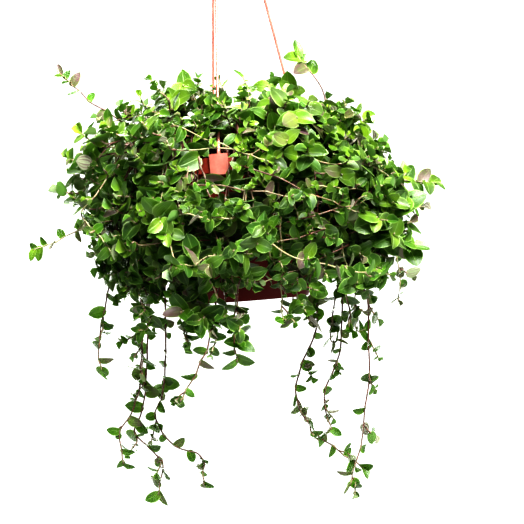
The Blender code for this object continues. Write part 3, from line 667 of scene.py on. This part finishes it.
class Stem:
    """A stem's line, in millimetres from the rim's centre, and its habit.

    Its first leaf is bare from its root, and its leaves are spacing apart, closer at its tip by the factor
    crowding. They are leaf long, and the youngest is that times tip_leaf. With rosette 1 they spread flat
    round the tip, with woody 1 the stem is brown, and lit turns them to the window. Their pairs start at
    turn degrees round the stem, and it has no more shoots than shoots says.
    """

    def __init__(
            self, name, route, leaf, bare, spacing, crowding=1.5, radius=0.85, rosette=0.35, tip_leaf=0.5,
            woody=None, turn=None, lit=0, shoots=None):
        rnd = random.Random(f"{SEED} {name} habit")
        self.name = name
        self.line = smooth_line(route)
        self.length = LINE_STEP * (len(self.line) - 1)
        self.leaf = leaf
        self.bare = bare
        self.spacing = spacing
        self.crowding = crowding
        self.radius = radius
        self.rosette = rosette
        self.tip_leaf = tip_leaf
        self.woody = rnd.random() if woody is None else woody
        self.turn = rnd.choice((-90, 90)) if turn is None else turn
        self.most_shoots = shoots
        self.facings = []
        facing = UP
        for i, point in enumerate(self.line):
            tangent = self.tangent(i)
            hanging = min(1, max(0, -point.z / HANGING_DEPTH))
            outwards = (point - HEAD_CENTRE).normalized()
            wanted = outwards + UP * (LIFT - HANGING_LESS * hanging) + TO_LIGHT * (hanging + lit)
            facing = facing + FACING_TURN * wanted
            facing = (facing - tangent * facing.dot(tangent)).normalized()
            self.facings.append(facing)
        self.bend_at_nodes()

    def bend_at_nodes(self):
        """The stem turns a little at each leaf, to one side and the other."""
        places = self.leaf_places()
        if len(places) < 3:
            return
        gaps = np.diff([self.bare] + places)
        swings = ZIGZAG * gaps * np.resize((1, -1), len(places))
        swings[0] = 0
        bends = np.interp(np.arange(len(self.line)) * LINE_STEP, places, swings)
        across = [self.tangent(i).cross(facing) for i, facing in enumerate(self.facings)]
        self.line = [point + side * bend for point, side, bend in zip(self.line, across, bends)]

    def tangent(self, i):
        low = self.line[max(i - 1, 0)]
        high = self.line[min(i + 1, len(self.line) - 1)]
        return (high - low).normalized()

    def at(self, distance):
        """(point, tangent, facing) this far along the stem."""
        place = min(max(distance / LINE_STEP, 0), len(self.line) - 1.001)
        i = int(place)
        share = place - i
        point = self.line[i].lerp(self.line[i + 1], share)
        tangent = self.tangent(i).lerp(self.tangent(i + 1), share).normalized()
        facing = self.facings[i].lerp(self.facings[i + 1], share)
        return point, tangent, (facing - tangent * facing.dot(tangent)).normalized()

    def leaf_places(self):
        """Distances of the leaves along the stem, closer together towards its tip."""
        rnd = random.Random(f"{SEED} {self.name} places")
        places = []
        distance = self.length - TIP_GAP / 2
        gap = TIP_GAP
        while distance > self.bare:
            places.append(distance)
            distance -= gap * rnd.uniform(0.7, 1.3)
            gap = min(self.spacing, gap * self.crowding)
        return places[::-1]


def over_rim(angle):
    """Up out of the soil, close over the rim and down outside it, under the head."""
    return [around(angle, radius, height) for radius, height in RIM_CROSSING]


def between_clips(angle):
    """The angle, moved off the clips of the hanger if it would run through one."""
    for clip in STRAND_ANGLES.values():
        off = (angle - clip + 180) % 360 - 180
        if abs(off) < CLIP_CLEARANCE:
            return clip + math.copysign(CLIP_CLEARANCE, off)
    return angle


def trailing_stems():
    """The long placed stems, and others at golden angles between them and the strands."""
    stems = []
    angles = list(STRAND_ANGLES.values())
    for name, how in TRAILING_STEMS.items():
        habit = dict(how)
        angle = habit.pop("angle")
        angles.append(angle)
        stems.append(Stem(name, over_rim(angle) + habit.pop("route"), **habit))
    rnd = random.Random(SEED)
    angle = 0
    while len(stems) < len(TRAILING_STEMS) + DRAPED_STEMS:
        angle = (angle + GOLDEN_ANGLE) % 360
        if min(abs((angle - other + 180) % 360 - 180) for other in angles) < DRAPED_APART:
            continue
        angles.append(angle)
        tip = around(angle, 97, -rnd.uniform(110, 190)) + towards(angle + 90) * rnd.uniform(-20, 20)
        below = [around(angle, 92, -70), tip]
        name = f"draped_stem_{len(stems) + 1 - len(TRAILING_STEMS)}"
        leaf = rnd.uniform(11, 14)
        stems.append(Stem(name, over_rim(angle) + below, leaf, 95, 12, 2.0, 1.0, rosette=0.6, woody=1))
    return stems


def mound_point(share, angle, depth):
    """A point inside the head's outline, at this share of the way from its top to its lower edge."""
    place = share * (len(MOUND) - 1.001)
    i = int(place)
    radius, height = Vector(MOUND[i]).lerp(Vector(MOUND[i + 1]), place - i)
    right = radius * math.sin(math.radians(angle))
    slope = MOUND_FALLS_RIGHT if right > 0 else MOUND_RISES_LEFT
    height -= slope * right * min(1, max(0, (height + 60) / 80))
    if height > MOUND_SHOULDER:
        return towards(angle) * radius * depth + UP * (MOUND_SHOULDER + (height - MOUND_SHOULDER) * depth)
    return around(angle, BESIDE_POT + (radius - BESIDE_POT) * depth, height)


def all_round(make, count, series):
    """So many stems of a kind. Each is at the next golden angle round the pot."""
    rnd = random.Random(SEED + series)
    return [make(number, number * GOLDEN_ANGLE, rnd) for number in range(count)]


def head_stem(number, angle, rnd):
    """A stem that arches from over the soil and wanders just inside the head's outline."""
    share = ((number + 0.5) / HEAD_STEMS) ** 0.8
    drift = rnd.uniform(-34, 34)
    depth = rnd.uniform(0.2, 0.95)
    if share < 0.6 and rnd.random() < 0.16:
        depth = rnd.uniform(1.1, 1.3)
    tip = mound_point(share, angle, depth)
    start = around(angle - drift, min(44, 0.6 * tip.xy.length), rnd.uniform(4, 14))
    if tip.xy.length < 74:
        middle = start.lerp(tip, 0.5) + towards(angle + 90) * rnd.uniform(-12, 12)
        route = [start, middle + UP * rnd.uniform(0, 6), tip]
    else:
        over = around(between_clips(angle - drift), OVER_RIM, rnd.uniform(12, 30))
        shoulder = mound_point(0.82 * share, angle - 0.3 * drift, 0.8 * depth)
        route = [start, over, shoulder, tip]
    leaf = rnd.uniform(11.5, 16.5) + max(0, -tip.y / 110)
    stem = Stem(f"head_stem_{number + 1}", route, leaf, 20, rnd.uniform(8, 12))
    stem.bare = max(20, stem.length - 70)
    return stem


def inner_stem(number, angle, rnd):
    """An older stem that hangs close round the pot, slantwise, with large dark leaves behind the others."""
    angle += 20
    drift = rnd.uniform(-50, 50)
    over = around(between_clips(angle + 0.1 * drift), 82, rnd.uniform(9, 16))
    beside = around(angle + 0.5 * drift, rnd.uniform(88, 96), -rnd.uniform(20, 40))
    tip = around(angle + drift, rnd.uniform(84, 98), -rnd.uniform(60, 112))
    route = [around(angle, 50, 4), over, beside, tip]
    return Stem(f"inner_stem_{number + 1}", route, rnd.uniform(14, 18), 26, 9, rosette=0.2)


def hem_stem(number, angle, rnd):
    """A stem that hangs a little further than the head's lower edge, furthest at the left of the front."""
    angle = between_clips(angle + 65)
    longer = max(0, math.cos(math.radians(angle + 35)))
    over = around(angle, OVER_RIM, rnd.uniform(12, 24))
    beside = around(angle, rnd.uniform(98, 116), -rnd.uniform(30, 50))
    side = towards(angle + 90) * rnd.uniform(-22, 22)
    tip = around(angle, rnd.uniform(86, 104), -rnd.uniform(86, 104) - 26 * longer * rnd.random()) + side
    route = [around(angle, *ROOT), over, beside, tip]
    return Stem(f"hem_stem_{number + 1}", route, rnd.uniform(12, 15), 80, 11)


def loose_stem(number, angle, rnd):
    """A thin pale stem, bare for most of its length, that wanders over the leaves of the head."""
    share = rnd.uniform(0.22, 0.80)
    side = rnd.choice((-1, 1))
    drop = rnd.uniform(-0.06, 0.10)
    turns = [(0, 0, 0.5), (7, 0.3, 1.0), (20, 1, 1.10), (34, 2, 1.13), (45, 2.6, 1.16)]
    route = [mound_point(min(0.95, share + drop * down), angle + 10 + side * turn, depth)
             for turn, down, depth in turns]
    leaf = rnd.uniform(10, 13)
    woody = 0.6 * rnd.random()
    return Stem(f"loose_stem_{number + 1}", route, leaf, 24, 19, 1.5, 0.7, 0.7, woody=woody)


def hanging_stem(name, tip, leaf):
    """A stem that crosses the rim above its tip, hangs under the head and turns out at its end."""
    tip = Vector(tip)
    angle = math.degrees(math.atan2(tip.x, -tip.y))
    below = Vector((0.9 * tip.x, 0.9 * tip.y, tip.z + 10))
    over = around(between_clips(angle), OVER_RIM, 16)
    route = [around(angle, *ROOT), over, around(angle, 103, -40), below, tip]
    return Stem(name, route, leaf, 48, 10, tip_leaf=0.7, rosette=0.5)


def between(point, target, source, reach):
    """Whether this point is within reach of the line from the target to the source."""
    beyond = point - Vector(target)
    way = (source - Vector(target)).normalized()
    return beyond.dot(way) > -2 and beyond.cross(way).length < reach


def over_clip(point, reach):
    """Whether something here would hide or shade the clip at the front."""
    return between(point, FRONT_CLIP, SEEN_FROM, reach) or between(point, FRONT_CLIP, LIT_FROM, 0.9 * reach)


def in_opening(point):
    """Whether a leaf here would hide the clip, or the pot where the leaves part."""
    if point.y > -30:
        return False
    parted = any(between(point, wall, SEEN_FROM, reach) for wall, reach in OPENINGS)
    return parted or over_clip(point, CLIP_SHOWN)


def clear_of_clip(stems):
    """Those of the stems that don't run over the clip at the front."""
    return [stem for stem in stems if not any(over_clip(point, CLIP_SHOWN - 1) for point in stem.line)]


def side_shoots(stem, apart, first, length):
    """Short shoots along a stem that turn out and up to the light and end in small rosettes."""
    rnd = random.Random(f"{SEED} {stem.name} shoots")
    shoots = []
    distance = first
    while distance < stem.length - 5:
        point, tangent, facing = stem.at(distance)
        outwards = (point - HEAD_CENTRE).normalized()
        rise = 0.5 if point.z > -70 else 0.1
        aside = Vector([rnd.uniform(-1, 1) for _ in range(3)]) * 0.45
        final = (outwards + UP * rise + aside).normalized()
        leave = tangent.cross(facing) * rnd.choice((-1, 1)) + tangent * rnd.uniform(0.2, 1) + final
        reach = length * rnd.uniform(0.5, 1.4)
        knee = point + leave.normalized() * 0.4 * reach
        name = f"{stem.name} shoot {len(shoots) + 1}"
        leaf = stem.leaf * rnd.uniform(0.8, 1.1)
        route = [point, knee, knee + final * 0.6 * reach]
        shoots += clear_of_clip([Stem(name, route, leaf, 3, 7, 1.4, 0.75, 0.8)])
        distance += apart * rnd.uniform(0.6, 1.4)
    return shoots[: stem.most_shoots]


# The leaves are fleshy, glossy blades, nearly round with a short point, that clasp the stem. Upper faces run
# from yellow-green at the tips to deep green, and undersides are flushed with purple between green veins.
BLADE_ROWS = 6
SMALL_LEAF = 11
SMALL_BLADE_ROWS = 4
BLADE_COLUMNS = 4
BLADE_THICKNESS = 0.045
BLADE_WIDEST = 0.40
BLADE_POINT = 0.07
GROWING_LENGTH = 16
AGEING_LENGTH = 45
FLUSHED_IN_FRONT = 0.10
FLUSHED_BEHIND = 0.22
# How each kind of blade folds at its midrib, cups across, curls down at its tip and twists, and how far its
# outline draws in towards the tip
BLADE_KINDS = {
    "flat": dict(fold=0.10, cup=0.02, curl=0.08, twist=0.0, taper=0.66),
    "cupped": dict(fold=0.12, cup=0.26, curl=-0.06, twist=0.05, taper=0.60),
    "domed": dict(fold=0.05, cup=-0.20, curl=0.18, twist=0.0, taper=0.58),
    "arched": dict(fold=0.12, cup=-0.08, curl=0.34, twist=-0.08, taper=0.70),
    "twisted": dict(fold=0.20, cup=0.10, curl=0.16, twist=0.32, taper=0.76),
    "rounded": dict(fold=0.06, cup=0.14, curl=0.06, twist=0.0, taper=0.50),
    "young": dict(fold=0.80, cup=0.40, curl=-0.05, twist=0.0, taper=0.80),
}
YOUNG_GREEN = (0.26, 0.43, 0.030, 1)
GROWN_GREEN = (0.068, 0.19, 0.011, 1)
DEEP_GREEN = (0.016, 0.062, 0.006, 1)
VEIN_GREEN = (0.36, 0.54, 0.16, 1)
PURPLE_FLUSH = (0.20, 0.08, 0.13, 1)
UNDER_GREEN = (0.13, 0.24, 0.065, 1)
UNDER_PURPLE = (0.20, 0.09, 0.14, 1)
UNDER_PALE = (0.50, 0.52, 0.38, 1)
LIGHT_THROUGH = (0.38, 0.62, 0.04, 1)


def blade(kind, rows, fold, cup, curl, twist, taper):
    """A closed blade one unit long and one wide, from its root at the origin along +Y, facing +Z."""
    deselect()
    bpy.ops.mesh.primitive_grid_add(x_subdivisions=BLADE_COLUMNS, y_subdivisions=rows, size=1)
    made = bpy.context.object
    made.name = f"blade_{kind}"
    upper_verts = len(made.data.vertices)
    upper_faces = len(made.data.polygons)
    edit()
    bpy.ops.mesh.duplicate()
    bpy.ops.mesh.flip_normals()
    leave_edit()
    for vert in made.data.vertices:
        across = 2 * vert.co.x
        share = vert.co.y + 0.5
        along = 0.5 - 0.5 * math.cos(math.pi * share)
        from_widest = along - BLADE_WIDEST
        if from_widest < 0:
            half = 0.5 * math.sqrt(1 - (from_widest / BLADE_WIDEST) ** 2)
        else:
            half = 0.5 * max(0, 1 - (from_widest / (1 - BLADE_WIDEST)) ** 2) ** taper
        x = across * (half + 0.09 * (1 - along) ** 6)
        lobes = 0.10 * abs(across) * (1 - along) ** 3
        z = fold * abs(x) + 2 * cup * x * x + 0.03 * math.sin(math.pi * along) - curl * along**2
        if vert.index >= upper_verts:
            z -= BLADE_THICKNESS * (1 - across**2) * math.sin(math.pi * share)
        turn = twist * along
        vert.co = (
            x * math.cos(turn) - z * math.sin(turn),
            along + BLADE_POINT * share**8 - lobes,
            x * math.sin(turn) + z * math.cos(turn),
        )
    edit()
    bpy.ops.mesh.remove_doubles(threshold=0.0001)
    leave_edit()
    dress(made, upper_face, under_face, stem_skin)
    for face in made.data.polygons:
        face.material_index = int(face.index >= upper_faces)
    shade(made, 60)
    return made


def leaf_skin(name, roughness, through):
    """(shader, veins, edge, cloudiness, along, off_rib): the pattern that both faces of a leaf share."""
    skin = Shader(bpy.data.materials.new(name), IOR=1.45, Specular_IOR_Level=0.7)
    across, along, _ = skin.node("ShaderNodeUVMap", {}).parts()
    off_rib = (across - 0.5).size() * 2
    lines = ((off_rib * 5.5).fraction() - 0.5).size() * 2
    midrib = 1 - off_rib.step(0.02, 0.10)
    veins = (lines.step(0.72, 1.0) * 0.55).math("MAXIMUM", midrib)
    edge = off_rib.step(0.82, 0.97)
    skin.cover(through, skin.node("ShaderNodeBsdfTranslucent", {"Color": LIGHT_THROUGH}))
    cloud = skin.noise(130, 1, 0.4)
    skin.give(Roughness=cloud * 0.3 + roughness + veins * 0.1)
    skin.bump(veins * -0.7 + cloud * 0.3, 0.3 * MM)
    return skin, veins, edge, cloud, along, off_rib


def make_upper_face():
    skin, veins, edge, cloud, along, _ = leaf_skin("leaf_upper_face", 0.20, 0.22)
    throat = 1 - along.step(0.0, 0.55)
    age = skin.attribute("age")
    tone = skin.attribute("tone")
    grown = skin.mix(tone.step(0.1, 0.95), DEEP_GREEN, GROWN_GREEN)
    green = skin.mix((age + tone * 0.35 + cloud * 0.2 - 0.15).step(0.0, 0.85), YOUNG_GREEN, grown)
    shaded = skin.mix((cloud + along - 0.55).step(0.1, 1.0) * 0.7, green, DEEP_GREEN)
    glowing = skin.mix(throat * 0.35, shaded, YOUNG_GREEN)
    veined = skin.mix(veins * 0.36, glowing, VEIN_GREEN)
    flushed = skin.mix(skin.attribute("flush") * (cloud.step(0.25, 0.8) * 0.5 + 0.5), veined, PURPLE_FLUSH)
    skin.give(Base_Color=skin.mix(edge * 0.75, flushed, VEIN_GREEN))
    return skin.owner


def make_under_face():
    skin, veins, edge, _, _, off_rib = leaf_skin("leaf_underside", 0.30, 0.35)
    silver = (skin.attribute("flush") + skin.attribute("tone") * 0.7).step(0.45, 1.0)
    face = skin.mix(silver * 0.9, UNDER_GREEN, UNDER_PALE)
    stripes = ((off_rib * 2.6 + 0.2).fraction() - 0.5).size() * 2
    striped = skin.mix(stripes.step(0.35, 0.75) * silver, face, UNDER_PURPLE)
    skin.give(Base_Color=skin.mix(edge * 0.3, striped, UNDER_PURPLE))
    return skin.owner


def make_stem_skin():
    """Smooth, juicy stems: purplish brown where old, pale green where young, with pale rings at the nodes."""
    material = bpy.data.materials.new("stem_skin")
    skin = Shader(material, IOR=1.42, Subsurface_Weight=0.15, Subsurface_Scale=1 * MM)
    age = skin.attribute("age")
    tone = skin.attribute("tone")
    streaks = skin.noise(300, 3, 0.6)
    brown = skin.mix(streaks.step(0.3, 0.75), (0.055, 0.022, 0.018, 1), (0.20, 0.10, 0.07, 1))
    pale = skin.mix(streaks.step(0.2, 0.8), (0.20, 0.23, 0.09, 1), (0.37, 0.28, 0.19, 1))
    mixed = skin.mix((age * 0.9 + tone * 0.7 + streaks * 0.3).step(0.45, 1.1), pale, brown)
    skin.give(Base_Color=skin.mix(skin.attribute("flush") * 0.5, mixed, (0.40, 0.38, 0.26, 1)))
    skin.give(Roughness=streaks * 0.3 + 0.3)
    skin.bump(streaks, 0.2 * MM)
    return material


upper_face = make_upper_face()
under_face = make_under_face()
stem_skin = make_stem_skin()
blades = {kind: blade(kind, BLADE_ROWS, **how) for kind, how in BLADE_KINDS.items()}
small_blades = {kind: blade(kind, SMALL_BLADE_ROWS, **how) for kind, how in BLADE_KINDS.items()}
GROWN_KINDS = [kind for kind in BLADE_KINDS if kind != "young"]


def mark(mesh, name, values):
    """Stores a number for each vertex, or the same one for all."""
    values = np.broadcast_to(np.asarray(values, np.float32), len(mesh.vertices))
    mesh.attributes.new(name, "FLOAT", "POINT").data.foreach_set("value", np.ascontiguousarray(values))


def grown_leaves(stem):
    """The stem's leaves, each as an object with its own mesh."""
    rnd = random.Random(f"{SEED} {stem.name}")
    # Leaves of stems whose tips hang lower start older and darker: partly the stem's woodiness, partly
    # painted shade for the dimmer light low on the plant.
    old = 0.7 * stem.woody - 0.004 * min(20, stem.line[-1].z + 10)
    leaves = []
    for number, distance in enumerate(reversed(stem.leaf_places())):
        point, tangent, facing = stem.at(distance)
        from_tip = stem.length - distance
        roll = math.radians(stem.turn + 180 * number + rnd.uniform(-1, 1) * (20 + 70 * stem.rosette))
        away = Matrix.Rotation(roll, 3, tangent) @ facing
        spread = math.radians(rnd.uniform(55, 88) * min(1, 0.3 + 0.5 * stem.rosette + from_tip / 14))
        along = tangent * math.cos(spread) + away * math.sin(spread)
        clasping = tangent * math.sin(spread) - away * math.cos(spread)
        upper = clasping * stem.rosette + facing * (1 - stem.rosette)
        upper = (upper - along * upper.dot(along)).normalized()
        upper = Matrix.Rotation(math.radians(rnd.uniform(-20, 20)), 3, along) @ upper
        length = stem.leaf * min(1, stem.tip_leaf + from_tip / GROWING_LENGTH) * rnd.uniform(0.72, 1.12)
        if any(in_opening(point + along * share * length) for share in (0.2, 0.5, 0.85)):
            continue
        width = length * (rnd.uniform(0.60, 0.85) + 0.22 * stem.rosette**2)
        kind = "young" if from_tip < 3 * (1 - stem.tip_leaf) else rnd.choice(GROWN_KINDS)
        axes = Matrix((along.cross(upper) * width, along * length, upper * length)).transposed() * MM
        mesh = (small_blades if length < SMALL_LEAF else blades)[kind].data.copy()
        mesh.transform(Matrix.Translation(RIM_CENTRE + point * MM) @ axes.to_4x4())
        mark(mesh, "age", min(1, (from_tip / AGEING_LENGTH + old) * rnd.uniform(0.7, 1.15)))
        mark(mesh, "tone", rnd.random())
        flushed = rnd.random() < (FLUSHED_BEHIND if point.y > 5 else FLUSHED_IN_FRONT)
        mark(mesh, "flush", rnd.uniform(0.5, 1) if flushed else rnd.uniform(0, 0.12))
        leaves.append(add_object("leaf", mesh))
    return leaves


# The pieces: each long stem with its leaves is one, and so are the sprigs and the tufts of the head. The
# stems taper to their tips and swell at each node, where the leaf's sheath wraps them.
NODE_SWELL = 0.45
NODE_LENGTH = 1.7
TUFTS = 8
tufts = [[] for _ in range(TUFTS)]


def stem_rods(name, stems):
    """The stems as one mesh, with each one's age and tone."""
    lines = []
    ages = []
    tones = []
    pale = []
    for stem in stems:
        distances = np.arange(len(stem.line)) * LINE_STEP
        nodes = np.array(stem.leaf_places() + [-99])
        near = np.exp(-(((distances[:, None] - nodes[None]) / NODE_LENGTH) ** 2)).max(axis=1)
        radii = stem.radius * MM * (1 - 0.45 * distances / stem.length) * (1 + NODE_SWELL * near)
        lines.append(([RIM_CENTRE + p * MM for p in stem.line], radii.tolist()))
        ages.append(1 - distances / stem.length)
        tones.append(np.full(len(distances), stem.woody))
        pale.append(near * 0.8)
    obj = rods(name, lines)
    points = [point for line, _ in lines for point in line]
    nearest = KDTree(len(points))
    for number, point in enumerate(points):
        nearest.insert(point, number)
    nearest.balance()
    at = [nearest.find(vert.co)[1] for vert in obj.data.vertices]
    mark(obj.data, "age", np.concatenate(ages)[at])
    mark(obj.data, "tone", np.concatenate(tones)[at])
    mark(obj.data, "flush", np.concatenate(pale)[at])
    dress(obj, upper_face, under_face, stem_skin)
    obj.data.polygons.foreach_set("material_index", [2] * len(obj.data.polygons))
    return obj


def leafy_piece(name, stems, *nodes):
    """One piece of these stems and all their leaves."""
    objects = [stem_rods(name, stems)]
    for stem in stems:
        objects += grown_leaves(stem)
    put_on(join(name, objects), "foliage", *nodes)


def add_to_tuft(stem, shoots):
    """A stem of the head and its shoots join the tuft on the side that its tip is on."""
    tip = stem.line[-1]
    tufts[int((math.atan2(tip.y, tip.x) / math.tau % 1) * TUFTS)].extend([stem] + shoots)


trailing = trailing_stems()
for stem in trailing:
    leafy_piece(f"leafy_{stem.name}", [stem] + side_shoots(stem, 40, 130, 18), stem.name)
for name, how in SPRIGS.items():
    sprig = Stem(name, **how)
    leafy_piece(f"leafy_{name}", [sprig] + side_shoots(sprig, 24, 45, 18), "vine_head")
for name, how in DROPS.items():
    drop = hanging_stem(name, how["tip"], how["leaf"])
    leafy_piece(f"leafy_{name}", [drop] + side_shoots(drop, 24, 100, 14), "vine_head")
for name, how in RUNNERS.items():
    runner = Stem(name, **how)
    leafy_piece(f"leafy_{name}", [runner] + side_shoots(runner, 26, 60, 16), "vine_head")
for stem in clear_of_clip(all_round(head_stem, HEAD_STEMS, 1)):
    add_to_tuft(stem, side_shoots(stem, 12, max(22, stem.length - 56), 22))
for stem in clear_of_clip(all_round(inner_stem, INNER_STEMS, 2)):
    add_to_tuft(stem, [])
for stem in all_round(hem_stem, HEM_STEMS, 3):
    add_to_tuft(stem, side_shoots(stem, 20, 90, 16))
for stem in clear_of_clip(all_round(loose_stem, LOOSE_STEMS, 4)):
    add_to_tuft(stem, side_shoots(stem, 26, 40, 12))
for number, stems in enumerate(tufts, 1):
    leafy_piece(f"head_tuft_{number}", stems, "vine_head")
for made in (*blades.values(), *small_blades.values()):
    bpy.data.objects.remove(made, do_unlink=True)

# The place where it hangs to be looked at: a pale room with soft light from all sides, a window light above
# and in front, a bright wall behind, and the camera level with the lower edge of the head.
CAMERA_PLACE = (0.011, -1.10, -0.4096)
CAMERA_ROLL = 4.5
CAMERA_LENS = 90
FLOOR_HEIGHT = -0.95
FLOOR_RADIUS = 4.0


def make_camera():
    camera = add_object("camera", bpy.data.cameras.new("camera"))
    camera.location = CAMERA_PLACE
    camera.rotation_euler = (math.radians(90), math.radians(CAMERA_ROLL), 0)
    camera.data.lens = CAMERA_LENS
    bpy.context.scene.camera = camera


def make_floor():
    floor = add_disc(96, FLOOR_RADIUS, FLOOR_HEIGHT)
    floor.name = "floor"
    pale = Shader(bpy.data.materials.new("pale_floor"), Base_Color=(0.3, 0.3, 0.3, 1), Roughness=0.9)
    seen = pale.node("ShaderNodeEmission", {"Color": (0.94, 0.96, 0.94, 1), "Strength": 0.95})
    pale.cover(pale.node("ShaderNodeLightPath", {}, "Is Camera Ray"), seen)
    dress(floor, pale.owner)


def make_light(name, place, size, power):
    light = bpy.data.lights.new(name, "AREA")
    light.shape = "DISK"
    light.size = size
    light.energy = power
    obj = add_object(name, light)
    obj.location = place
    obj.visible_camera = False
    obj.rotation_euler = (Vector((0, 0, -0.33)) - Vector(place)).to_track_quat("-Z", "Y").to_euler()


def make_world():
    """A near-white room, whose light is dimmer on the plant than it looks behind it."""
    world = bpy.data.worlds.new("pale_room")
    bpy.context.scene.world = world
    room = Shader(world, "Background", "World Output", Color=(0.94, 0.97, 0.93, 1), Strength=0.23)
    seen = room.node("ShaderNodeBackground", {"Color": (0.97, 0.98, 0.97, 1), "Strength": 0.97})
    room.cover(room.node("ShaderNodeLightPath", {}, "Is Camera Ray"), seen)


bpy.context.scene.view_settings.view_transform = "Standard"
bpy.context.scene.view_settings.look = "Very High Contrast"
make_camera()
make_floor()
make_world()
make_light("window", (0.60, -1.5, 1.00), 1.4, 138)
make_light("sky", (-0.3, 0.8, 1.4), 0.8, 60)
make_light("wall", (-0.3, 1.5, -0.55), 2.0, 75)
